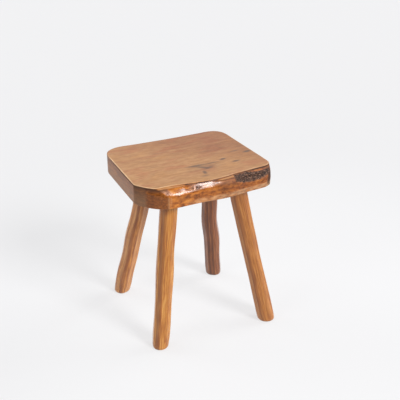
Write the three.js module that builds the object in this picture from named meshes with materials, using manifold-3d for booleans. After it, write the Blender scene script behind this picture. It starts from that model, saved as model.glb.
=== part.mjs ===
// Rustic four-legged stool: a thick live-edge seat slab on four splayed, hand-shaved legs.
//
// Each leg ends in a round tenon that is glued into a blind socket in the seat's underside.
// The end of the tenon is sawn, and a small hidden wedge spreads it against the socket's floor.
//
// Millimetres, +Z up, +X along the seat's long side and its grain, +Y to the back. The live
// edge is on the front. The origin is on the floor, under the middle of the bounding box.

import * as THREE from 'three';
import { mergeVertices } from 'three/addons/utils/BufferGeometryUtils.js';
import Module from 'manifold-3d';

const wasm = await Module();
wasm.setup();

// Driving dimensions
const STOOL_HEIGHT = 450;
const SLAB_THICKNESS = 50.5;
const GAP = 0.3; // clearance kept between touching pieces
const UNDERSIDE = STOOL_HEIGHT - SLAB_THICKNESS;

// Seat plan, counted from the middle of the slab
const LEFT_END = -178.5;
const RIGHT_END = 179;
const END_TAPER = 4; // the slab is this much shorter at the back, at each end
const BACK_EDGE = 153.5;
const BACK_HOLLOW = 4; // how far the sawn back edge bows in
const BACK_CORNER = { left: 56, right: 46 };
const RIGHT_CORNER_Y = -98; // where the rounded front-right corner starts
const RIGHT_CORNER_SKEW = 3; // it is pulled this much further back than the front edge
const POINTS_PER_CURVE = 12;

// The front-left corner is cut off at a slant that starts here and bulges through a control
// point, more at the underside than at the top
const CLIPPED_CORNER_Y = -88;
const CLIPPED_CORNER = { full: [-165, -126], top: [-164, -114] };
const ARRIS = 1.2;

// The front is the tree's own waney edge. Each station gives a place on it, from left to
// right: first on the full-depth part of the edge, then where the bevel meets the top face.
const LIVE_EDGE = [
  { full: [-126, -149], top: [-142, -131] },
  { full: [-97, -153], top: [-106, -132] },
  { full: [-64, -152.5], top: [-70, -135.5] },
  { full: [-30, -152], top: [-33, -141] },
  { full: [7, -154.5], top: [-3, -143] },
  { full: [41, -156], top: [36, -140] },
  { full: [75, -151.5], top: [72, -133.5] },
  { full: [107, -148], top: [110, -129] },
  { full: [141, -145], top: [148, -126] },
];

// How much of the bevel has been taken off at each depth below the top face
const WANE = [
  { depth: 0, share: 1, arris: ARRIS },
  { depth: ARRIS, share: 0.94, arris: 0 },
  { depth: 6, share: 0.66, arris: 0 },
  { depth: 12, share: 0.33, arris: 0 },
  { depth: 16, share: 0.12, arris: 0 },
  { depth: 21, share: 0, arris: 0 },
  { depth: SLAB_THICKNESS - ARRIS, share: 0, arris: 0 },
  { depth: SLAB_THICKNESS, share: 0, arris: ARRIS },
];

// Long hollow in the right half of the live edge, where a pocket of bark was left
const BARK_HOLLOW = { centre: [125, -148, 437.5], half: [54, 10, 10], segments: [28, 14] };

// Legs: where each axis meets the underside and the floor, the turn of its facets, and its
// thickness and sideways crook at even stations from the foot to the seat
const LEGS = [
  {
    name: 'front_left', seatAt: [-88, -87], footAt: [-141, -132], turn: 27,
    thickness: [44, 44.5, 43, 46, 42.5, 44.5, 44],
    crook: [-0.5, 0.4, 0.1, -0.2, -1.3, 0, 0],
    facets: [1.02, 0.97, 1.03, 0.95, 1, 0.98, 1.03, 0.96],
  },
  {
    name: 'front_right', seatAt: [97, -87], footAt: [167, -145], turn: -24,
    thickness: [50, 49, 47, 45.5, 47, 47.5, 48],
    crook: [2, 1.6, 0.7, -0.6, -1, -1.3, 0],
    facets: [0.96, 1.03, 0.98, 1.02, 0.95, 1.03, 0.97, 1.01],
  },
  {
    name: 'back_left', seatAt: [-78, 77], footAt: [-139, 157], turn: 23,
    thickness: [46.5, 47, 45.5, 46.5, 45, 46.5, 46],
    crook: [-1.2, -2.6, 0.1, -0.9, 2, 1.6, 0],
    facets: [1, 0.96, 1.03, 0.99, 0.97, 1.02, 0.95, 1.03],
  },
  {
    name: 'back_right', seatAt: [100, 80], footAt: [146, 125.5], turn: 12,
    thickness: [46, 44, 46, 44, 44, 44.5, 45],
    crook: [-1.3, -1.3, 0, -4.9, 0, 0.6, 0],
    facets: [1.03, 0.98, 0.96, 1.02, 1, 0.95, 1.02, 0.98],
  },
];
const SHANK_RINGS = 21; // level sections of a leg above its foot
const FACET_HALF_ANGLE = 18; // degrees; the rest of each eighth is the softened arris
// The foot is chamfered by hand: the height of each of its rings, and how far it is drawn in
const FOOT_RINGS = [
  { height: 8, inset: 0 },
  { height: 4, inset: 0.6 },
  { height: 1.5, inset: 2 },
  { height: 0, inset: 5 },
];

// Blind wedged joint, along each leg's axis from the seat's underside
const TENON_RADIUS = 15.5;
const TENON_LENGTH = 34;
const TENON_ROOT = 14; // how far the round tenon is let into the leg's own solid
const ROUND_SIDES = 32;
const KERF_DEPTH = 26;
const KERF_HALF_WIDTH = { root: 0.9, mouth: 2.6 };
const KERF_WIDTH = 40; // wider than the tenon, so that it cuts right across
const KERF_OVERRUN = 1; // the kerf's cut runs this far past the tenon's end
const WEDGE_WIDTH = 29;
const SOCKET_SPARE_DEPTH = 1.5; // room for glue past the tenon's end

// Solids

// A closed body through rings of points. All rings run anticlockwise seen from above, have
// the same number of points and are listed from the top one down.
function loft(rings) {
  const sides = rings[0].length;
  const levels = rings.length - 1;
  const geometry = new THREE.CylinderGeometry(1, 1, 1, sides, levels);
  geometry.rotateX(Math.PI / 2);
  const position = geometry.getAttribute('position');
  const point = new THREE.Vector3();
  for (let i = 0; i < position.count; i++) {
    point.fromBufferAttribute(position, i);
    const ring = rings[Math.round((0.5 - point.z) * levels)];
    if (Math.hypot(point.x, point.y) < 0.5) {
      point.copy(middleOf(ring));
    } else {
      const turn = Math.atan2(point.x, -point.y) / (2 * Math.PI);
      point.copy(ring[Math.round((turn + 1) * sides) % sides]);
    }
    position.setXYZ(i, point.x, point.y, point.z);
  }
  return geometry;
}

function middleOf(points) {
  const sum = points.reduce((total, point) => total.add(point), new THREE.Vector3());
  return sum.divideScalar(points.length);
}

function toSolid(geometry) {
  const bare = geometry.clone();
  bare.deleteAttribute('normal');
  bare.deleteAttribute('uv');
  const merged = mergeVertices(bare, 1e-4);
  const vertProperties = new Float32Array(merged.getAttribute('position').array);
  const triVerts = new Uint32Array(merged.getIndex().array);
  return new wasm.Manifold(new wasm.Mesh({ numProp: 3, vertProperties, triVerts }));
}

function toGeometry(solid) {
  const { vertProperties, triVerts } = solid.getMesh();
  const geometry = new THREE.BufferGeometry();
  geometry.setAttribute('position', new THREE.BufferAttribute(vertProperties, 3));
  geometry.setIndex(new THREE.BufferAttribute(triVerts, 1));
  geometry.computeVertexNormals();
  return geometry;
}

// Seat

function bevelled({ full, top }, share) {
  const point = new THREE.Vector2(...full);
  return point.lerp(new THREE.Vector2(...top), share);
}

// The slab's outline with a given share of the bevel taken off its front
function slabOutline(share) {
  const front = LIVE_EDGE.map((station) => bevelled(station, share));
  const clip = bevelled(CLIPPED_CORNER, share);
  const start = front[0];
  const end = front[front.length - 1];
  const backLeft = LEFT_END + END_TAPER;
  const backRight = RIGHT_END - END_TAPER;
  const { left, right } = BACK_CORNER;
  const outline = new THREE.Path();
  outline.moveTo(start.x, start.y);
  outline.splineThru(front.slice(1));
  outline.quadraticCurveTo(RIGHT_END, end.y + RIGHT_CORNER_SKEW, RIGHT_END, RIGHT_CORNER_Y);
  outline.lineTo(backRight, BACK_EDGE - right);
  outline.quadraticCurveTo(backRight, BACK_EDGE, backRight - right, BACK_EDGE);
  outline.quadraticCurveTo(0, BACK_EDGE - 2 * BACK_HOLLOW, backLeft + left, BACK_EDGE);
  outline.quadraticCurveTo(backLeft, BACK_EDGE, backLeft, BACK_EDGE - left);
  outline.lineTo(LEFT_END, CLIPPED_CORNER_Y);
  outline.quadraticCurveTo(clip.x, clip.y, start.x, start.y);
  return outline.getPoints(POINTS_PER_CURVE).slice(1);
}

function slabGeometry() {
  const rings = WANE.map(({ depth, share, arris }) => {
    const shrink = 1 - arris / BACK_EDGE;
    return slabOutline(share).map(({ x, y }) => {
      return new THREE.Vector3(x * shrink, y * shrink, STOOL_HEIGHT - depth);
    });
  });
  return loft(rings);
}

function barkHollow() {
  const geometry = new THREE.SphereGeometry(1, ...BARK_HOLLOW.segments);
  geometry.scale(...BARK_HOLLOW.half);
  geometry.translate(...BARK_HOLLOW.centre);
  return toSolid(geometry);
}

// Legs and their joints

// Places a shape that was drawn along +Y on the leg's axis, starting at the underside
function jointMatrix({ seatAt, footAt }) {
  const seat = new THREE.Vector3(...seatAt, UNDERSIDE);
  const foot = new THREE.Vector3(...footAt, 0);
  const axis = seat.clone().sub(foot).normalize();
  const turn = new THREE.Quaternion().setFromUnitVectors(new THREE.Vector3(0, 1, 0), axis);
  return new THREE.Matrix4().compose(seat, turn, new THREE.Vector3(1, 1, 1));
}

function peg(radius, from, to) {
  const geometry = new THREE.CylinderGeometry(radius, radius, to - from, ROUND_SIDES);
  return geometry.translate(0, (from + to) / 2, 0);
}

// A wedge across the tenon, thin at its root: the kerf itself, or with a clearance the piece
// in it. The kerf runs out past the tenon's end, and the piece stops short of it.
function wedgeShape(width, clearance) {
  const root = KERF_HALF_WIDTH.root - clearance;
  const mouth = KERF_HALF_WIDTH.mouth - clearance;
  const low = TENON_LENGTH - KERF_DEPTH + clearance;
  const high = clearance > 0 ? TENON_LENGTH - clearance : TENON_LENGTH + KERF_OVERRUN;
  const outline = new THREE.Shape();
  outline.moveTo(-root, low);
  outline.lineTo(root, low);
  outline.lineTo(mouth, high);
  outline.lineTo(-mouth, high);
  const geometry = new THREE.ExtrudeGeometry(outline, { depth: width, bevelEnabled: false });
  return geometry.translate(0, 0, -width / 2);
}

// Reads a list of evenly spaced values as a smooth curve; t runs from 0 to 1
function smoothAt(values, t) {
  const points = values.map((value, i) => new THREE.Vector2(i, value));
  return new THREE.SplineCurve(points).getPoint(t).y;
}

// One level section of a leg: eight uneven flats with softened arrises
function legRing(leg, height, inset) {
  const t = height / UNDERSIDE;
  const radius = smoothAt(leg.thickness, t) / 2 - inset;
  const x = THREE.MathUtils.lerp(leg.footAt[0], leg.seatAt[0], t) + smoothAt(leg.crook, t);
  const y = THREE.MathUtils.lerp(leg.footAt[1], leg.seatAt[1], t);
  const ring = [];
  for (let flat = 0; flat < 8; flat++) {
    for (const side of [-1, 1]) {
      const angle = flat * 45 + side * FACET_HALF_ANGLE;
      const reach = radius * flatReach(leg.facets, angle);
      const direction = THREE.MathUtils.degToRad(angle + leg.turn);
      ring.push(new THREE.Vector3(
        x + reach * Math.cos(direction), y + reach * Math.sin(direction), height));
    }
  }
  return ring;
}

// Distance from the axis to the nearest flat in a direction, for flats at unit distance
function flatReach(facets, angle) {
  const reaches = facets.map((facet, i) => {
    const cosine = Math.cos(THREE.MathUtils.degToRad(angle - i * 45));
    return cosine > 0.5 ? facet / cosine : Infinity;
  });
  return Math.min(...reaches);
}

function legBody(leg) {
  const rings = [];
  const shoulder = UNDERSIDE - GAP;
  for (let i = 0; i < SHANK_RINGS; i++) {
    const height = THREE.MathUtils.lerp(shoulder, FOOT_RINGS[0].height, i / SHANK_RINGS);
    rings.push(legRing(leg, height, 0));
  }
  for (const { height, inset } of FOOT_RINGS) {
    rings.push(legRing(leg, height, inset));
  }
  return loft(rings);
}

function legGeometry(leg) {
  const place = jointMatrix(leg);
  const tenon = peg(TENON_RADIUS, -TENON_ROOT, TENON_LENGTH).applyMatrix4(place);
  const kerf = wedgeShape(KERF_WIDTH, 0).applyMatrix4(place);
  const solid = toSolid(legBody(leg)).add(toSolid(tenon)).subtract(toSolid(kerf));
  return toGeometry(solid);
}

function wedgeGeometry(leg) {
  return wedgeShape(WEDGE_WIDTH, GAP).applyMatrix4(jointMatrix(leg));
}

function socket(leg) {
  const geometry = peg(TENON_RADIUS + GAP, -TENON_ROOT, TENON_LENGTH + SOCKET_SPARE_DEPTH);
  return toSolid(geometry.applyMatrix4(jointMatrix(leg)));
}

function seatGeometry() {
  let solid = toSolid(slabGeometry()).subtract(barkHollow());
  for (const leg of LEGS) {
    solid = solid.subtract(socket(leg));
  }
  return toGeometry(solid);
}

// Materials

const seatWood = new THREE.MeshStandardMaterial({ color: '#a5683f', roughness: 0.35, metalness: 0 });
const legWood = new THREE.MeshStandardMaterial({ color: '#a8662b', roughness: 0.45, metalness: 0 });
const wedgeWood = new THREE.MeshStandardMaterial({ color: '#cfa873', roughness: 0.7, metalness: 0 });

// Assembly

const stool = new THREE.Group();

function addPiece(name, geometry, material) {
  const mesh = new THREE.Mesh(geometry, material);
  mesh.name = name;
  stool.add(mesh);
}

addPiece('seat', seatGeometry(), seatWood);
for (const leg of LEGS) {
  addPiece(`leg_${leg.name}`, legGeometry(leg), legWood);
  addPiece(`wedge_${leg.name}`, wedgeGeometry(leg), wedgeWood);
}

const middle = new THREE.Box3().setFromObject(stool).getCenter(new THREE.Vector3());
stool.position.set(-middle.x, -middle.y, 0);

export default stool;
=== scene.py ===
"""Rustic four-legged stool: a live-edge slab seat on four splayed, hand-shaved legs.

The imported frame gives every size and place. Each piece of timber is wrapped again, as a
fine skin over its CAD node, and the tool marks, ripples and bark are raised on that skin.
Metres, +Z up, +X along the seat's grain, +Y to the back.
"""

from math import cos, exp, pi, radians, sin

import bmesh
import bpy
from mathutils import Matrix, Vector, noise
from mathutils.bvhtree import BVHTree
from mathutils.kdtree import KDTree


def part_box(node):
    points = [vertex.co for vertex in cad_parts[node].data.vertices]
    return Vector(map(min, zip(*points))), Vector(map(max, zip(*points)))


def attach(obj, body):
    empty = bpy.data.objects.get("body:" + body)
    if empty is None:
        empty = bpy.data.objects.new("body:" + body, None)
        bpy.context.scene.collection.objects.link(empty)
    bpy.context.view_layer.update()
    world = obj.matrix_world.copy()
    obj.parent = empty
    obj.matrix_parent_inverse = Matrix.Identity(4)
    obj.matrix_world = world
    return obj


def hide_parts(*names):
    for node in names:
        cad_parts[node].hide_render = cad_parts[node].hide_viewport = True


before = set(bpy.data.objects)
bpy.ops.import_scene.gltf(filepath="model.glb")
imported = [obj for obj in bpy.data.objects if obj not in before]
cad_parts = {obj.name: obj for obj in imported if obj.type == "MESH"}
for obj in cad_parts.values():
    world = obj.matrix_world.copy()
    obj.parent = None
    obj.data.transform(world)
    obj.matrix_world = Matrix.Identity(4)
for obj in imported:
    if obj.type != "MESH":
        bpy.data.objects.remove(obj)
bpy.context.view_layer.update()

MM = 0.001
LEGS = ("front_left", "front_right", "back_left", "back_right")

seat_low, seat_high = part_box("seat")
UNDERSIDE = seat_low.z
SEAT_TOP = seat_high.z
SEAT_MIDDLE = (seat_low + seat_high) / 2
SHOULDER = UNDERSIDE - 0.3 * MM  # where each leg's timber stops under the seat


# Camera, floor and light

AIM = Vector((0.0965, 0.131, 0.25))
CAMERA_TURN = -26.15  # degrees; 0 would look along +Y
CAMERA_HEIGHT = 26.18  # degrees above the horizon
CAMERA_DISTANCE = 1.966
LENS = 61.2  # mm, on a 36 mm wide sensor


def toward(turn, height):
    """The direction from the stool to something at a turn and a height, in degrees."""
    level = cos(radians(height))
    return Vector((sin(radians(turn)) * level, -cos(radians(turn)) * level, sin(radians(height))))


def place_camera():
    data = bpy.data.cameras.new("camera")
    data.lens = LENS
    data.sensor_width = 36
    camera = bpy.data.objects.new("camera", data)
    camera.location = AIM + toward(CAMERA_TURN, CAMERA_HEIGHT) * CAMERA_DISTANCE
    camera.rotation_euler = (radians(90 - CAMERA_HEIGHT), 0, radians(CAMERA_TURN))
    bpy.context.scene.collection.objects.link(camera)
    bpy.context.scene.camera = camera


# Big soft lamps far round the studio: turn, height and spread in degrees, then strength
LAMPS = {
    "key_front": (24, 34, 20, 3.0),
    "fill_left": (-78, 30, 30, 0.65),
    "fill_right": (90, 34, 30, 1.3),
    "kicker_back": (222, 36, 30, 0.6),
}


def hang_lamps():
    for name, (turn, height, spread, strength) in LAMPS.items():
        data = bpy.data.lights.new(name, "SUN")
        data.angle = radians(spread)
        data.energy = strength
        lamp = bpy.data.objects.new(name, data)
        lamp.rotation_euler = toward(turn, height).to_track_quat("Z", "Y").to_euler()
        bpy.context.scene.collection.objects.link(lamp)


BACKDROP_TURN = 160  # degrees; the bright side of the room
ROOM_GLOW = {"open_side": 0.22, "backdrop": 0.8, "seen": 0.87}


def pale_room():
    """Studio air: a white sweep behind the stool and a dimmer room in front of it."""
    world = bpy.data.worlds.new("pale_room")
    world.use_nodes = True
    tree = world.node_tree
    way = add(tree, "TexCoord", {}, out="Generated")
    facing = add(tree, "VectorMath", {0: way, 1: toward(BACKDROP_TURN, 0)}, out="Value",
                 operation="DOT_PRODUCT")
    glow = add(tree, "MapRange", {"Value": facing, "From Min": -0.3, "From Max": 0.6,
                                  "To Min": ROOM_GLOW["open_side"],
                                  "To Max": ROOM_GLOW["backdrop"]})
    seen = add(tree, "LightPath", {}, out="Is Camera Ray")
    glow = add(tree, "Mix", {"Factor": seen, "A": glow, "B": ROOM_GLOW["seen"]}, out="Result")
    walls = tree.nodes["Background"]
    walls.inputs["Color"].default_value = paint("#fdfdff")
    tree.links.new(glow, walls.inputs["Strength"])
    bpy.context.scene.world = world


LIT_POOL = {"middle": (0.2, -0.3, 0), "inner": 0.3, "outer": 1.5, "bright": 0.662, "dim": 0.595}


def lay_floor():
    """A pale floor that glows a little, so that the shadows on it stay faint.

    Its glow is a painted pool of light, brightest under the stool and to the front.
    """
    mesh = bpy.data.meshes.new("floor")
    far = 14
    corners = [(-far, -far, 0), (far, -far, 0), (far, far, 0), (-far, far, 0)]
    mesh.from_pydata(corners, [], [(0, 1, 2, 3)])
    floor = bpy.data.objects.new("floor", mesh)
    bpy.context.scene.collection.objects.link(floor)
    material, surface = new_material("glowing_pale_floor")
    surface.inputs["Base Color"].default_value = paint("#7b7b7c")
    surface.inputs["Roughness"].default_value = 0.9
    surface.inputs["Specular IOR Level"].default_value = 0.1
    surface.inputs["Emission Color"].default_value = paint("#fefeff")
    tree = material.node_tree
    own = add(tree, "TexCoord", {}, out="Object")
    # The glow fades away from the middle: a painted pool of light
    away = add(tree, "VectorMath", {0: own, 1: LIT_POOL["middle"]}, out="Value",
               operation="DISTANCE")
    glow = add(tree, "MapRange", {"Value": away, "From Min": LIT_POOL["inner"],
                                  "From Max": LIT_POOL["outer"], "To Min": LIT_POOL["bright"],
                                  "To Max": LIT_POOL["dim"]}, interpolation_type="SMOOTHSTEP")
    tree.links.new(glow, surface.inputs["Emission Strength"])
    mesh.materials.append(material)


# Materials

def paint(hex_colour):
    """An sRGB hex colour as the linear colour that a shader takes."""
    values = [int(hex_colour[i : i + 2], 16) / 255 for i in (1, 3, 5)]
    linear = [v / 12.92 if v <= 0.04045 else ((v + 0.055) / 1.055) ** 2.4 for v in values]
    return (*linear, 1)


def new_material(name):
    material = bpy.data.materials.new(name)
    material.use_nodes = True
    return material, material.node_tree.nodes["Principled BSDF"]


def socket(sockets, name):
    """A node's socket by its number, or the one in use that has that name."""
    if isinstance(name, int):
        return sockets[name]
    return next(s for s in sockets if s.name == name and s.enabled)


def add(tree, kind, inputs, out=0, stops=(), **settings):
    """Adds a shader node, sets it, feeds its inputs and returns one of its outputs.

    An input is another node's output, a hex colour or a plain value. The stops of a colour
    ramp are (position, hex colour).
    """
    made = tree.nodes.new("ShaderNode" + kind)
    for name, value in settings.items():
        setattr(made, name, value)
    for name, value in inputs.items():
        target = socket(made.inputs, name)
        if isinstance(value, bpy.types.NodeSocket):
            tree.links.new(value, target)
        else:
            target.default_value = paint(value) if isinstance(value, str) else value
    for number, (position, colour) in enumerate(stops):
        if number < 2:
            element = made.color_ramp.elements[number]
        else:
            element = made.color_ramp.elements.new(position)
        element.position = position
        element.color = paint(colour)
    return socket(made.outputs, out)


def timber_pattern(tree, seed, ring_gap, pith, fibre, wander, base=(0, 0, 0), lie=(0, 0, 0)):
    """Solid timber with its grain along the piece's own X; sizes in mm, from its base.

    Returns the place inside the timber, warped as the grain wanders, and three patterns
    from 0 to 1: growth rings, fibres and slow clouds of colour.
    """
    own = add(tree, "TexCoord", {}, out="Object")
    place = add(tree, "Mapping", {"Vector": own, "Location": base, "Rotation": lie,
                                  "Scale": (MM, MM, MM)}, vector_type="TEXTURE")
    slow = add(tree, "VectorMath", {0: place, 1: (1 / 110, 1 / 38, 1 / 38)}, operation="MULTIPLY")
    slow = add(tree, "VectorMath", {0: slow, 1: (seed, seed * 0.7, 3)}, operation="ADD")
    drift = add(tree, "TexNoise", {"Vector": slow, "Scale": 1, "Detail": 2}, out="Color")
    drift = add(tree, "VectorMath", {0: drift, 1: (0.5, 0.5, 0.5)}, operation="SUBTRACT")
    drift = add(tree, "VectorMath", {0: drift, 1: (0, wander, wander / 8)}, operation="MULTIPLY")
    warped = add(tree, "VectorMath", {0: place, 1: drift}, operation="ADD")

    from_pith = add(tree, "VectorMath", {0: warped, 1: pith}, operation="SUBTRACT")
    across = add(tree, "VectorMath", {0: from_pith, 1: (0.02, 1, 1)}, operation="MULTIPLY")
    radius = add(tree, "VectorMath", {0: across}, out="Value", operation="LENGTH")
    year = add(tree, "Math", {0: radius, 1: ring_gap}, operation="DIVIDE")
    rings = add(tree, "TexNoise", {"W": year, "Scale": 1, "Detail": 2}, noise_dimensions="1D")

    length, width = fibre
    thin = add(tree, "VectorMath", {0: warped, 1: (1 / length, 1 / width, 1 / width)},
               operation="MULTIPLY")
    thin = add(tree, "VectorMath", {0: thin, 1: (seed * 3, seed, 0)}, operation="ADD")
    fibres = add(tree, "TexNoise", {"Vector": thin, "Scale": 1, "Detail": 3, "Roughness": 0.6})
    clouds = add(tree, "TexNoise", {"Vector": slow, "Scale": 1.6, "Detail": 3})
    return warped, rings, fibres, clouds


# Dark figure round small knots on the seat's top, in mm: middle, half length, half width,
# turn from the grain in degrees, and strength
KNOTS = (
    (-8, -58, 38, 9, 2, 0.8),
    (5, -75, 28, 9, -38, 0.75),
    (-5, -103, 16, 8, 78, 0.85),
    (17, -82, 24, 8, 20, 0.7),
    (36, -58, 34, 6, 4, 0.65),
    (73, -49, 15, 6, 8, 1.0),
    (97, -73, 18, 6, 5, 0.85),
    (154, -28, 20, 8, 10, 0.95),
    (126, -12, 22, 6, 4, 0.6),
    (-13, -122, 18, 6, 5, 0.5),
    (10, -75, 70, 34, 4, 0.22),
    (60, 20, 40, 5, 3, 0.3),
    (-60, 60, 36, 4, -4, 0.3),
    (-110, -20, 30, 4, 2, 0.25),
)


def varnished_slab():
    """Varnished slab of an old hardwood such as elm: planed top, sawn ends, natural edge.

    Satin varnish over tan wood gives a soft white sheen on the top; the natural edge under
    the bark is left glossy and orange, and the bark pocket stays rough and nearly black.
    """
    material, surface = new_material("varnished_elm_slab")
    tree = material.node_tree
    warped, rings, fibres, clouds = timber_pattern(
        tree, seed=2.0, ring_gap=4.5, pith=(0, 30, 290), fibre=(45, 2.6), wander=14)
    kept = {name: add(tree, "Attribute", {}, out="Fac", attribute_name=name)
            for name in ("live_edge", "bark", "end_grain", "dark_marks_and_painted_shade", "worn", "thick_varnish")}

    # Planed top: even tan with faint rings and short flecks, browner to the back right
    fleck_place = add(tree, "VectorMath", {0: warped, 1: (1 / 20, 1 / 7, 1 / 7)},
                      operation="MULTIPLY")
    flecks = add(tree, "TexNoise", {"Vector": fleck_place, "Scale": 1, "Detail": 3,
                                    "Roughness": 0.6, "Distortion": 0.3})
    tone = add(tree, "Math", {0: flecks, 1: 1.0, 2: fibres}, operation="MULTIPLY_ADD")
    tone = add(tree, "Math", {0: rings, 1: 0.35, 2: tone}, operation="MULTIPLY_ADD")
    tone = add(tree, "MapRange", {"Value": tone, "From Min": 0.66, "From Max": 1.68})
    planed = add(tree, "ValToRGB", {"Fac": tone}, out="Color",
                 stops=[(0.1, "#8e643e"), (0.42, "#a1754b"), (0.58, "#aa7e54"), (0.95, "#b98f64")])
    tint = add(tree, "ValToRGB", {"Fac": clouds}, out="Color",
               stops=[(0.34, "#f7e4e0"), (0.5, "#ffffff"), (0.66, "#fffaee")])
    planed = add(tree, "Mix", {"Factor": 1.0, "A": planed, "B": tint}, out="Result",
                 data_type="RGBA", blend_type="MULTIPLY")
    slope = add(tree, "VectorMath", {0: warped, 1: (1, 1.2, 0)}, out="Value",
                operation="DOT_PRODUCT")
    slope = add(tree, "MapRange", {"Value": slope, "From Min": -190, "From Max": 210})
    tint = add(tree, "ValToRGB", {"Fac": slope}, out="Color",
               stops=[(0.0, "#fffdfa"), (0.45, "#fcf8f4"), (0.75, "#e8dad4"), (1.0, "#e2d0c9")])
    planed = add(tree, "Mix", {"Factor": 1.0, "A": planed, "B": tint}, out="Result",
                 data_type="RGBA", blend_type="MULTIPLY")
    for x, y, long, wide, turn, strength in KNOTS:
        near = add(tree, "Mapping", {"Vector": warped, "Location": (x, y, SEAT_TOP / MM),
                                     "Rotation": (0, 0, radians(turn)), "Scale": (long, wide, 9)},
                   vector_type="TEXTURE")
        away = add(tree, "VectorMath", {0: near}, out="Value", operation="LENGTH")
        stain = add(tree, "MapRange", {"Value": away, "From Min": 0.15, "From Max": 1,
                                       "To Min": strength, "To Max": 0},
                    interpolation_type="SMOOTHSTEP")
        planed = add(tree, "Mix", {"Factor": stain, "A": planed, "B": "#5c4638"}, out="Result",
                     data_type="RGBA")

    # Sawn ends: brown, with pores and fine streaks, and dark old wax in the saw marks
    streak_place = add(tree, "VectorMath", {0: warped, 1: (1 / 6, 1 / 30, 1 / 3)},
                       operation="MULTIPLY")
    streaks = add(tree, "TexNoise", {"Vector": streak_place, "Scale": 1, "Detail": 4,
                                     "Roughness": 0.65})
    sawn = add(tree, "ValToRGB", {"Fac": streaks}, out="Color",
               stops=[(0.3, "#50280c"), (0.46, "#743f13"), (0.58, "#884c1a"), (0.74, "#a36933")])

    # Under the bark: orange sapwood with darker patches drawn out along the grain
    patch_place = add(tree, "VectorMath", {0: warped, 1: (1 / 15, 1 / 7, 1 / 7)},
                      operation="MULTIPLY")
    patches = add(tree, "TexNoise", {"Vector": patch_place, "Scale": 1, "Detail": 4,
                                     "Roughness": 0.66, "Distortion": 0.5})
    sapwood = add(tree, "ValToRGB", {"Fac": patches}, out="Color",
                  stops=[(0.3, "#5e300e"), (0.42, "#8c4c18"), (0.52, "#aa6222"), (0.64, "#bf762e"),
                         (0.78, "#d49144")])
    along = add(tree, "VectorMath", {0: warped, 1: (1, 0, 0)}, out="Value", operation="DOT_PRODUCT")
    along = add(tree, "MapRange", {"Value": along, "From Min": -110, "From Max": 110})
    tint = add(tree, "ValToRGB", {"Fac": along}, out="Color",
               stops=[(0.2, "#ffffff"), (0.6, "#dcd4cc")])
    sapwood = add(tree, "Mix", {"Factor": 1.0, "A": sapwood, "B": tint}, out="Result",
                  data_type="RGBA", blend_type="MULTIPLY")

    crust_place = add(tree, "VectorMath", {0: warped, 1: (1 / 4, 1 / 1.8, 1 / 1.8)},
                      operation="MULTIPLY")
    crust = add(tree, "TexNoise", {"Vector": crust_place, "Scale": 1, "Detail": 3})
    bark_tone = add(tree, "ValToRGB", {"Fac": crust}, out="Color",
                    stops=[(0.36, "#140905"), (0.5, "#3a2013"), (0.6, "#664430"),
                           (0.72, "#9a7d69")])

    # Colour layers in turn: sawn ends, sapwood, dark marks with painted shade at the corners,
    # painted highlights and sheen in pale tan, and bark
    colour = planed
    for name, layer in (("end_grain", sawn), ("live_edge", sapwood), ("dark_marks_and_painted_shade", "#381c0b"),
                        ("worn", "#dcb68c"), ("bark", bark_tone)):
        colour = add(tree, "Mix", {"Factor": kept[name], "A": colour, "B": layer}, out="Result",
                     data_type="RGBA")
    tree.links.new(colour, surface.inputs["Base Color"])

    rough = add(tree, "MapRange", {"Value": fibres, "From Min": 0.3, "From Max": 0.7,
                                   "To Min": 0.34, "To Max": 0.46})
    for name, roughness in (("live_edge", 0.46), ("thick_varnish", 0.19), ("dark_marks_and_painted_shade", 0.75)):
        rough = add(tree, "Mix", {"Factor": kept[name], "A": rough, "B": roughness}, out="Result")
    rough = add(tree, "Mix", {"Factor": kept["bark"], "A": rough, "B": 0.75}, out="Result")
    tree.links.new(rough, surface.inputs["Roughness"])
    raised = add(tree, "Bump", {"Height": fibres, "Strength": 0.2, "Distance": 0.2 * MM},
                 out="Normal")
    tree.links.new(raised, surface.inputs["Normal"])
    surface.inputs["IOR"].default_value = 1.42
    return material


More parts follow.
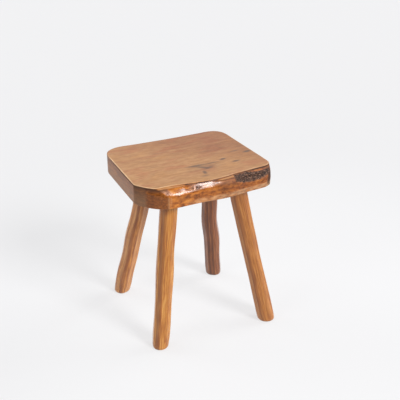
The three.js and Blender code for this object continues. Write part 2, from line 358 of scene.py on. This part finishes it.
def varnished_leg(name, timber, base, lie):
    """Riven and shaved leg: straight grain with dark streaks, partly painted shade, under a satin
    varnish.

    The varnish is a thin coat. It gives a pale sheen to the facets seen at a low angle.
    """
    material, surface = new_material(f"varnished_ash_{name}")
    tree = material.node_tree
    _, rings, fibres, clouds = timber_pattern(
        tree, timber["seed"], ring_gap=4, pith=(0, 30, 16), fibre=(60, 2), wander=6,
        base=base, lie=lie)
    tone = add(tree, "Math", {0: rings, 1: 0.3, 2: fibres}, operation="MULTIPLY_ADD")
    tone = add(tree, "MapRange", {"Value": tone, "From Min": 0.43, "From Max": 0.88})
    wood = add(tree, "ValToRGB", {"Fac": tone}, out="Color",
               stops=[(0.0, timber["dark"]), (0.35, timber["middle"]), (0.62, timber["pale"]),
                      (1, timber["light"])])
    tint = add(tree, "ValToRGB", {"Fac": clouds}, out="Color",
               stops=[(0.3, "#f0e2d8"), (0.5, "#ffffff"), (0.7, "#fffaf0")])
    wood = add(tree, "Mix", {"Factor": 1.0, "A": wood, "B": tint}, out="Result",
               data_type="RGBA", blend_type="MULTIPLY")
    # Dark streaks, partly painted shade, in the leg's darkest colour
    streak_and_shade = add(tree, "Attribute", {}, out="Fac", attribute_name="dark_streak_and_painted_shade")
    wood = add(tree, "Mix", {"Factor": streak_and_shade, "A": wood, "B": timber["dark"]}, out="Result",
               data_type="RGBA")
    tree.links.new(wood, surface.inputs["Base Color"])
    rough = add(tree, "MapRange", {"Value": fibres, "From Min": 0.3, "From Max": 0.7,
                                   "To Min": 0.3, "To Max": 0.42})
    tree.links.new(rough, surface.inputs["Roughness"])
    raised = add(tree, "Bump", {"Height": fibres, "Strength": 0.3, "Distance": 0.3 * MM},
                 out="Normal")
    tree.links.new(raised, surface.inputs["Normal"])
    surface.inputs["IOR"].default_value = 1.4
    surface.inputs["Coat Weight"].default_value = 0.6
    surface.inputs["Coat Roughness"].default_value = 0.22
    return material


def split_wedge():
    """Bare riven oak, dry and unvarnished: pale, matt, with short open fibres."""
    material, surface = new_material("bare_riven_oak")
    tree = material.node_tree
    _, _, fibres, _ = timber_pattern(
        tree, seed=9.0, ring_gap=2, pith=(0, 20, 20), fibre=(8, 0.7), wander=1)
    wood = add(tree, "ValToRGB", {"Fac": fibres}, out="Color",
               stops=[(0.3, "#a9814f"), (0.55, "#c9a26c"), (0.75, "#dcbd8b")])
    tree.links.new(wood, surface.inputs["Base Color"])
    surface.inputs["Roughness"].default_value = 0.75
    raised = add(tree, "Bump", {"Height": fibres, "Strength": 0.4, "Distance": 0.2 * MM},
                 out="Normal")
    tree.links.new(raised, surface.inputs["Normal"])
    return material


# Fine skins over the CAD nodes

REACH = 0.5  # rays start this far outside a piece
END_MARGIN = 0.02 * MM  # how far inside a piece's flat ends its first and last rings are
SEAT_RINGS = 58
SEAT_SIDES = 880
SEAT_INSETS = (0.0012, 0.003, 0.006, 0.01, 0.017, 0.028, 0.045, 0.08, 0.14, 0.22, 0.34, 0.5,
               0.68, 0.85)
LEG_RINGS = 220
LEG_SIDES = 120
LEG_INSETS = (0.02, 0.06, 0.14, 0.28, 0.5, 0.75)


def shell_of(node):
    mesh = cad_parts[node].data
    return BVHTree.FromPolygons([v.co for v in mesh.vertices], [p.vertices for p in mesh.polygons])


def wrap(node, start, end, shares, sides):
    """Level rings on a node's outer surface, at shares of the way from start to end."""
    shell = shell_of(node)
    rings = []
    for share in shares:
        middle = start.lerp(end, share)
        ring = []
        for side in range(sides):
            turn = 2 * pi * side / sides
            out = Vector((cos(turn), sin(turn), 0))
            ring.append(shell.ray_cast(middle + out * REACH, -out)[0])
        rings.append(ring)
    return rings


def even_steps(count, gather=0.0):
    """Shares from 0 to 1; gather, under 1, draws them together towards both ends."""
    steps = [i / (count - 1) for i in range(count)]
    return [t - gather * sin(2 * pi * t) / (2 * pi) for t in steps]


def smooth_round(ring, rounds):
    """Eases the corners of a closed ring of points, and keeps its level."""
    for _ in range(rounds):
        ring = [(ring[i - 1] + 2 * ring[i] + ring[(i + 1) % len(ring)]) / 4
                for i in range(len(ring))]
    return ring


def close_ends(rings, insets):
    """Adds rings drawn in over both ends; insets are shares of the way to the middle."""
    def drawn_in(ring, share):
        middle = sum(ring, Vector()) / len(ring)
        return [point.lerp(middle, share) for point in ring]

    below = [drawn_in(rings[0], share) for share in reversed(insets)]
    above = [drawn_in(rings[-1], share) for share in insets]
    return below + rings + above


def skin_mesh(name, rings):
    """A closed mesh through rings that are listed from the lowest end to the highest."""
    sides = len(rings[0])
    mesh = bmesh.new()
    rows = [[mesh.verts.new(point) for point in ring] for ring in rings]
    for low, high in zip(rows, rows[1:]):
        for i in range(sides):
            j = (i + 1) % sides
            mesh.faces.new((low[i], low[j], high[j], high[i]))
    for row, order in ((rows[0], -1), (rows[-1], 1)):
        middle = mesh.verts.new(sum((v.co for v in row), Vector()) / sides)
        for i in range(sides):
            pair = (row[i], row[(i + 1) % sides])[::order]
            mesh.faces.new((*pair, middle))
    data = bpy.data.meshes.new(name)
    mesh.to_mesh(data)
    mesh.free()
    for face in data.polygons:
        face.use_smooth = True
    skin = bpy.data.objects.new(name, data)
    bpy.context.scene.collection.objects.link(skin)
    return skin


def ease(skin, rounds):
    """Softens the arrises by moving each point part of the way to its neighbours' middle."""
    mesh = bmesh.new()
    mesh.from_mesh(skin.data)
    for _ in range(rounds):
        bmesh.ops.smooth_vert(mesh, verts=mesh.verts, factor=0.5, use_axis_x=True,
                              use_axis_y=True, use_axis_z=True)
    mesh.to_mesh(skin.data)
    mesh.free()


def lumps(point, size, seed=0.0):
    """Smooth noise from -1 to 1, with lumps of a given size in mm along each axis."""
    scaled = Vector(p / (s * MM) for p, s in zip(point, size))
    return noise.noise(scaled + Vector((seed, seed * 1.7, seed * 0.3)))


def smooth_step(value, low, high):
    t = min(max((value - low) / (high - low), 0), 1)
    return t * t * (3 - 2 * t)


def raise_surface(skin, height):
    """Moves each point along its normal by height(point, normal), in metres."""
    mesh = skin.data
    moves = [vertex.normal * height(vertex.co, vertex.normal) for vertex in mesh.vertices]
    for vertex, move in zip(mesh.vertices, moves):
        vertex.co += move
    mesh.update()


def mark(skin, name, share):
    """Stores share(point, normal), from 0 to 1, on each point for the material to read."""
    values = [share(vertex.co, vertex.normal) for vertex in skin.data.vertices]
    attribute = skin.data.attributes.new(name, "FLOAT", "POINT")
    attribute.data.foreach_set("value", values)


def join_or_cut(piece, tool, operation):
    """Joins a closed piece with another closed mesh, or cuts it, and drops the tool."""
    points = len(piece.data.vertices)
    step = piece.modifiers.new("joinery", "BOOLEAN")
    step.operation = operation
    step.solver = "MANIFOLD"
    step.object = tool
    view = bpy.context.evaluated_depsgraph_get()
    piece.data = bpy.data.meshes.new_from_object(piece.evaluated_get(view))
    piece.modifiers.remove(step)
    if len(piece.data.vertices) == points:
        raise RuntimeError(f"{tool.name} left {piece.name} unchanged")
    piece.data.materials.clear()
    bpy.data.objects.remove(tool)


# Joints: each leg's tenon stands in a blind socket along the leg's axis

SOCKET_RADIUS = 15.8 * MM
SOCKET_DEPTH = 35.5 * MM
TENON_ROOT = 6 * MM  # how far the tenon is let into the shaved leg before they are joined
CUT_RAISE = 0.1 * MM  # the CAD leg is cut this far above its shoulder, to leave its tenon
LEVEL_SLACK = 0.01 * MM
WELD_REACH = 0.001 * MM  # the loaded mesh has a point for each face's corner


def level_middle(node, height):
    """The middle of a node's section at a level where its mesh has a ring of points."""
    ring = [v.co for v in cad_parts[node].data.vertices if abs(v.co.z - height) < 0.02 * MM]
    low = Vector(min(p[axis] for p in ring) for axis in range(3))
    high = Vector(max(p[axis] for p in ring) for axis in range(3))
    return (low + high) / 2


def leg_ends(corner):
    """The middle of a leg's foot, and of its top where it meets the seat."""
    node = f"leg_{corner}"
    return level_middle(node, 0), level_middle(node, SHOULDER)


def drill_socket(seat, corner):
    foot, head = leg_ends(corner)
    axis = (head - foot).normalized()
    mesh = bmesh.new()
    length = 2 * SOCKET_DEPTH
    bmesh.ops.create_cone(mesh, cap_ends=True, segments=64, radius1=SOCKET_RADIUS,
                          radius2=SOCKET_RADIUS, depth=length)
    data = bpy.data.meshes.new("drill")
    mesh.to_mesh(data)
    mesh.free()
    drill = bpy.data.objects.new("drill", data)
    drill.location = head + axis * (SOCKET_DEPTH - length / 2)
    drill.rotation_euler = axis.to_track_quat("Z", "Y").to_euler()
    bpy.context.scene.collection.objects.link(drill)
    join_or_cut(seat, drill, "DIFFERENCE")


def fit_tenon(leg, corner):
    """Joins the node's own tenon, with its saw kerf, to the top of the shaved leg."""
    foot, head = leg_ends(corner)
    axis = (head - foot).normalized()
    mesh = bmesh.new()
    mesh.from_mesh(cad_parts[f"leg_{corner}"].data)
    bmesh.ops.remove_doubles(mesh, verts=mesh.verts, dist=WELD_REACH)
    level = SHOULDER + CUT_RAISE
    everything = mesh.verts[:] + mesh.edges[:] + mesh.faces[:]
    bmesh.ops.bisect_plane(mesh, geom=everything, plane_co=(0, 0, level), plane_no=(0, 0, 1),
                           clear_inner=True)
    bmesh.ops.holes_fill(mesh, edges=[edge for edge in mesh.edges if edge.is_boundary])
    for vertex in mesh.verts:
        if vertex.co.z < level + LEVEL_SLACK:
            vertex.co -= axis * TENON_ROOT
    bmesh.ops.recalc_face_normals(mesh, faces=mesh.faces)
    data = bpy.data.meshes.new("tenon")
    mesh.to_mesh(data)
    mesh.free()
    tenon = bpy.data.objects.new("tenon", data)
    bpy.context.scene.collection.objects.link(tenon)
    join_or_cut(leg, tenon, "UNION")


# Seat

BARK = {"left": 0.051, "right": 0.160, "low": 0.4255, "high": 0.4470}  # where bark is left
BARK_TAPER = 0.011  # how much higher its lower rim is at both ends
BARK_LIP = 0.004  # clean wood left above its right half
CLIP_START = -0.152  # x where the clipped corner gives way to the live edge, at the top
CLIP_LEAN = 1.4  # how far that line moves right for each unit that it drops
CORNER_SHADE = 0.1435  # x where the front's right corner turns away and its painted shade begins
BEVEL_SWELL = 2.2  # mm that the live edge's left part stands out under the top arris
UPRIGHT_SWELL = 2.9  # the same on its matt part, which this makes nearly upright


def depth_of(point):
    """How far a point is under the seat's top, in mm."""
    return (SEAT_TOP - point.z) / MM


def on_front(point, normal):
    return smooth_step(-point.y, 0.118, 0.126) * smooth_step(-normal.y, 0.3, 0.6)


def in_bark(point):
    """1 in the middle of the bark pocket, falling to 0 at its ragged rim."""
    ragged = 0.0016 * lumps(point, (11, 8, 6), 4) + 0.0012 * lumps(point, (4, 3, 3), 7)
    middle = (BARK["left"] + BARK["right"]) / 2
    along = (point.x - middle) / (BARK["right"] - middle)
    low_rim = BARK["low"] + BARK_TAPER * abs(along) ** 2.4
    high_rim = BARK["high"] - BARK_LIP * smooth_step(point.x, 0.095, 0.12)
    inside = min(point.z - low_rim, high_rim - point.z) + ragged
    inside = min(inside, (1 - abs(along)) * 0.02)
    return smooth_step(-point.y, 0.110, 0.120) * smooth_step(inside, -0.0008, 0.0014)


def on_live_edge(point, normal):
    """1 on the natural front edge, 0 on the planed and sawn faces."""
    clip_line = CLIP_START + CLIP_LEAN * min(depth_of(point), 21) * MM
    return on_front(point, normal) * smooth_step(point.x - clip_line, -0.0015, 0.0015)


def on_sawn_end(point, normal):
    end = smooth_step(abs(normal.x), 0.35, 0.6)
    clip = smooth_step(-normal.y, 0.3, 0.6) * smooth_step(-point.x, 0.122, 0.128)
    return max(end, clip) * smooth_step(-abs(normal.z), -0.8, -0.5)


def painted_highlights(point, normal, arris_gap):
    """1 where highlight and sheen are painted pale: along the top arris, down the corner between
    the clip and the front, on the live edge's lower lip, and on the sawn ends, lighter towards the
    bottom.

    The real arris is about 1 mm wide; it is drawn 2 mm wide so that it shows.
    """
    depth = depth_of(point)
    # Painted highlight along the top arris, brightest on the left end
    arris = 1 - smooth_step(arris_gap, 0.9, 2.0)
    front = on_front(point, normal)
    arris *= 0.4 + 0.3 * smooth_step(-point.x, 0.10, 0.17) + 0.35 * lumps(point, (40, 40, 9), 8)
    arris *= 1 - smooth_step(point.y, 0.07, 0.13)
    arris *= 1 - smooth_step(point.x, 0.165, 0.175)
    # Painted highlight down the corner between the clip and the front
    front_corner_highlight = exp(-((point.x + 0.1185) / 0.0022) ** 2) * front
    front_corner_highlight *= smooth_step(depth, 20, 23) * (1 - 0.7 * smooth_step(depth, 34, 44))
    # Painted highlight on the live edge's lower lip
    low_lip_highlight = smooth_step(depth, 35, 41) * front
    low_lip_highlight *= smooth_step(point.x, -0.09, -0.03) * (0.55 + 0.6 * lumps(point, (14, 9, 5), 8))
    # Painted sheen on the sawn ends, lighter towards the bottom
    end = 0.11 * smooth_step(abs(point.x), 0.165, 0.172) * (0.4 + smooth_step(depth, 5, 40))
    return min(1, max(arris, 0.15 * front_corner_highlight, 0.45 * low_lip_highlight, end, 0))


def thick_varnish(point, normal):
    """1 where the live edge is glossiest: its bevel to the left, and under the bark."""
    depth = depth_of(point)
    bevel = (1 - smooth_step(depth, 23, 26)) * (1 - smooth_step(point.x, 0.0, 0.02))
    under_bark = smooth_step(point.x, 0.05, 0.08) * smooth_step(depth, 24, 28)
    under_bark *= 1 - smooth_step(depth, 36, 40)
    return max(bevel, 0.8 * under_bark) * on_front(point, normal)


def blot(point, middle, half):
    """1 at the middle of a soft spot on the front edge, falling away over half its width."""
    along, up = ((point.x - middle[0]) / half[0], (point.z - middle[1]) / half[1])
    return exp(-along * along - up * up)


def matt_stretch(point):
    """1 along the part of the live edge, right of its middle, that has no bevel or gloss."""
    return smooth_step(point.x, -0.016, 0.020) * (1 - smooth_step(point.x, 0.05, 0.08))


def darkening_and_painted_shade(point, normal, arris_gap):
    """Darkening: a line under the top arris, dark patches and spots on the live edge, and painted
    shade where the front's right corner and the clip's left part turn from the light.
    """
    depth = depth_of(point)
    off_top = 1 - smooth_step(normal.z, 0.8, 0.92)
    left = smooth_step(-point.x, 0.10, 0.17) * smooth_step(-point.y, -0.10, -0.04)
    line = smooth_step(arris_gap, 1.4, 2.0) * (1 - smooth_step(depth, 3.4, 5.2)) * left
    clip = smooth_step(-point.x, 0.118, 0.125) * smooth_step(-point.y, 0.088, 0.094)
    clip_top = clip * smooth_step(arris_gap, 1.2, 2.2) * (1 - smooth_step(depth, 4, 13))
    # Painted shade on the clip's left part, which turns from the light
    clip_left_shade = clip * smooth_step(-point.x, 0.162, 0.174) * 0.45
    front = smooth_step(point.x, -0.135, -0.11) * smooth_step(-point.y, 0.12, 0.125)
    stretch = matt_stretch(point)
    reach = 2.2 + 3 * stretch
    under = front * smooth_step(arris_gap, 1.0, 1.8) * (1 - smooth_step(depth, reach, reach + 2.5))
    under *= 0.85 - 0.3 * stretch + 0.5 * lumps(point, (25, 20, 20), 9)
    matt = 0.5 * front * stretch * (1 - smooth_step(depth, 19, 25))
    matt *= 0.6 + 0.8 * lumps(point, (16, 8, 6), 12)
    # Painted shade on the front's right corner, which turns from the light
    ragged = 0.004 * lumps(point, (12, 12, 7), 21)
    corner = smooth_step(point.x + ragged, CORNER_SHADE, CORNER_SHADE + 0.006)
    corner *= smooth_step(-point.y + 3 * ragged, 0.118, 0.14) * smooth_step(depth, 0.8, 2)
    spots = 0.5 * blot(point, (-0.080, 0.421), (0.015, 0.0045))
    speckled = smooth_step(lumps(point, (5, 3, 3), 14), -0.35, 0.1)
    spots = max(spots, speckled * blot(point, (-0.053, 0.4385), (0.017, 0.0046)))
    spots = max(spots, 0.7 * speckled * blot(point, (-0.124, 0.440), (0.007, 0.0035)))
    spots = max(spots, 0.4 * blot(point, (0.02, 0.424), (0.016, 0.005)))
    spots *= on_front(point, normal)
    darkening = max(0.9 * line, 0.75 * clip_top, clip_left_shade, under, matt, 0.95 * corner, spots, 0)
    return min(1, darkening) * off_top


def slab_surface(point, normal):
    """How far the seat's skin is raised: wear, the live edge's swell and ripples, and bark."""
    edge = on_live_edge(point, normal)
    bark = in_bark(point)
    depth = depth_of(point)
    worn = 0.2 * lumps(point, (70, 60, 60), 1)
    on_bevel = edge * smooth_step(depth, 1.5, 5) * (1 - smooth_step(depth, 17, 21))
    swell = BEVEL_SWELL * edge * smooth_step(depth, 0.5, 6) * (1 - smooth_step(depth, 4, 18.5))
    swell *= 1 - smooth_step(point.x, -0.085, -0.068)
    upright = UPRIGHT_SWELL * edge * smooth_step(depth, 1.2, 7) * (1 - smooth_step(depth, 8, 20))
    swell += upright * matt_stretch(point)
    calm = 1 - 0.75 * on_bevel * (1 - smooth_step(point.x, -0.02, 0.02))
    waves = 0.55 * lumps(point, (34, 16, 14), 2) + 0.16 * lumps(point, (10, 5, 5), 3)
    ripple = edge * calm * waves
    plates = 1.5 * abs(lumps(point, (8, 4, 4), 5)) + 0.8 * lumps(point, (4, 2.5, 2.5), 6)
    crust = bark * (plates - 1.2)
    return (worn + swell + ripple + crust) * MM


def make_seat():
    margin = Vector((0, 0, END_MARGIN))
    foot = Vector((SEAT_MIDDLE.x, SEAT_MIDDLE.y, UNDERSIDE)) + margin
    head = Vector((SEAT_MIDDLE.x, SEAT_MIDDLE.y, SEAT_TOP)) - margin
    rings = wrap("seat", foot, head, even_steps(SEAT_RINGS, gather=0.8), SEAT_SIDES)
    rings = [smooth_round(ring, 4) for ring in rings]
    arris = KDTree(len(rings[-1]))
    for number, point in enumerate(rings[-1]):
        arris.insert(point, number)
    arris.balance()
    seat = skin_mesh("seat_slab", close_ends(rings, SEAT_INSETS))
    ease(seat, 2)
    raise_surface(seat, slab_surface)
    for corner in LEGS:
        drill_socket(seat, corner)
    mark(seat, "live_edge", on_live_edge)
    mark(seat, "bark", lambda point, normal: in_bark(point))
    mark(seat, "end_grain", on_sawn_end)
    mark(seat, "thick_varnish", thick_varnish)
    # Dark marks with painted shade, and painted highlights and sheen, both reckoned from the top
    # arris
    for name, share in (("dark_marks_and_painted_shade", darkening_and_painted_shade), ("worn", painted_highlights)):
        mark(seat, name, lambda point, normal: share(point, normal, arris.find(point)[2] / MM))
    seat.data.materials.append(varnished_slab())
    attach(seat, "root")
    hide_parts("seat")


# Legs

# Each leg's own timber: its colours from dark to light, and the dark streaks down its sides, each
# with its turn and half width in degrees, seen from above, and its strength
LEG_TIMBER = {
    # The front left leg's broad streak at -54 degrees is painted shade on its left side
    "front_left": {"seed": 3.1, "dark": "#743a0a", "middle": "#a9661f", "pale": "#bb7d33",
                   "light": "#ce9853", "streaks": ((-39, 4, 0.9), (-54, 14, 0.6))},
    "front_right": {"seed": 5.7, "dark": "#7a410f", "middle": "#a0611e", "pale": "#ae6f2e",
                    "light": "#be8846", "streaks": ((-46, 5, 0.7), (4, 3, 0.4))},
    "back_left": {"seed": 7.9, "dark": "#784018", "middle": "#ae6f33", "pale": "#be8041",
                  "light": "#cd985c", "streaks": ((-34, 5, 0.7), (-2, 3, 0.5))},
    # The back right leg's darker colours are partly its own wood and partly painted shade, as it
    # stands turned from the lamps
    "back_right": {"seed": 11.3, "dark": "#431e08", "middle": "#703b16", "pale": "#834a1f",
                   "light": "#9a6438", "streaks": ((-50, 5, 0.8), (-25, 6, 0.5))},
}


def shaved(axis, seed):
    """The surface that a drawknife leaves: long shallow hollows and a few small dips."""
    turn = axis.to_track_quat("X", "Z").inverted()

    def height(point, normal):
        along = turn @ point
        hollow = 0.5 * lumps(along, (70, 14, 14), seed)
        dip = 0.2 * lumps(along, (20, 8, 8), seed + 3)
        return (hollow + dip) * MM

    return height


def dark_streaks_and_shade(foot, axis, streaks, seed):
    """Dark streaks down a leg, on the sides of its axis that face the given turns; a broad one
    paints shade on a side that the lamps light less.
    """
    def share(point, normal):
        out = point - foot
        out = (out - axis * out.dot(axis)).normalized()
        deepest = 0
        for turn, width, strength in streaks:
            wandering = turn + 7 * lumps(point, (40, 40, 70), seed)
            facing = toward(wandering, 0).dot(out)
            edge = cos(radians(width))
            strength *= 1 + 0.6 * lumps(point, (30, 30, 45), seed + 5)
            deepest = max(deepest, strength * smooth_step(facing, edge - 0.03, edge))
        return min(deepest, 1)

    return share


FOOT_ROUNDS = 60
FOOT_WEAR_HEIGHT = 30 * MM


def worn_rounds(height):
    """How often a ring's corners are eased: the facets are worn round near the floor."""
    return 1 + round(FOOT_ROUNDS * (1 - smooth_step(height, 0, FOOT_WEAR_HEIGHT)))


def make_leg(corner):
    node = f"leg_{corner}"
    timber = LEG_TIMBER[corner]
    foot, head = leg_ends(corner)
    axis = (head - foot).normalized()
    margin = axis * END_MARGIN
    shares = even_steps(LEG_RINGS, gather=0.3)
    rings = wrap(node, foot + margin, head - margin, shares, LEG_SIDES)
    rings = [smooth_round(ring, worn_rounds(ring[0].z)) for ring in rings]
    leg = skin_mesh(f"{node}_shaved", close_ends(rings, LEG_INSETS))
    ease(leg, 1)
    raise_surface(leg, shaved(axis, timber["seed"]))
    fit_tenon(leg, corner)
    mark(leg, "dark_streak_and_painted_shade", dark_streaks_and_shade(foot, axis, timber["streaks"], timber["seed"]))
    lie = axis.to_track_quat("X", "Z").to_euler()
    leg.data.materials.append(varnished_leg(corner, timber, foot, lie))
    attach(leg, "root")
    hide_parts(node)


def finish_wedges():
    wood = split_wedge()
    for corner in LEGS:
        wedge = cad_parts[f"wedge_{corner}"]
        wedge.data.materials.clear()
        wedge.data.materials.append(wood)


bpy.context.scene.view_settings.view_transform = "Standard"
place_camera()
pale_room()
hang_lamps()
lay_floor()
make_seat()
for corner in LEGS:
    make_leg(corner)
finish_wedges()
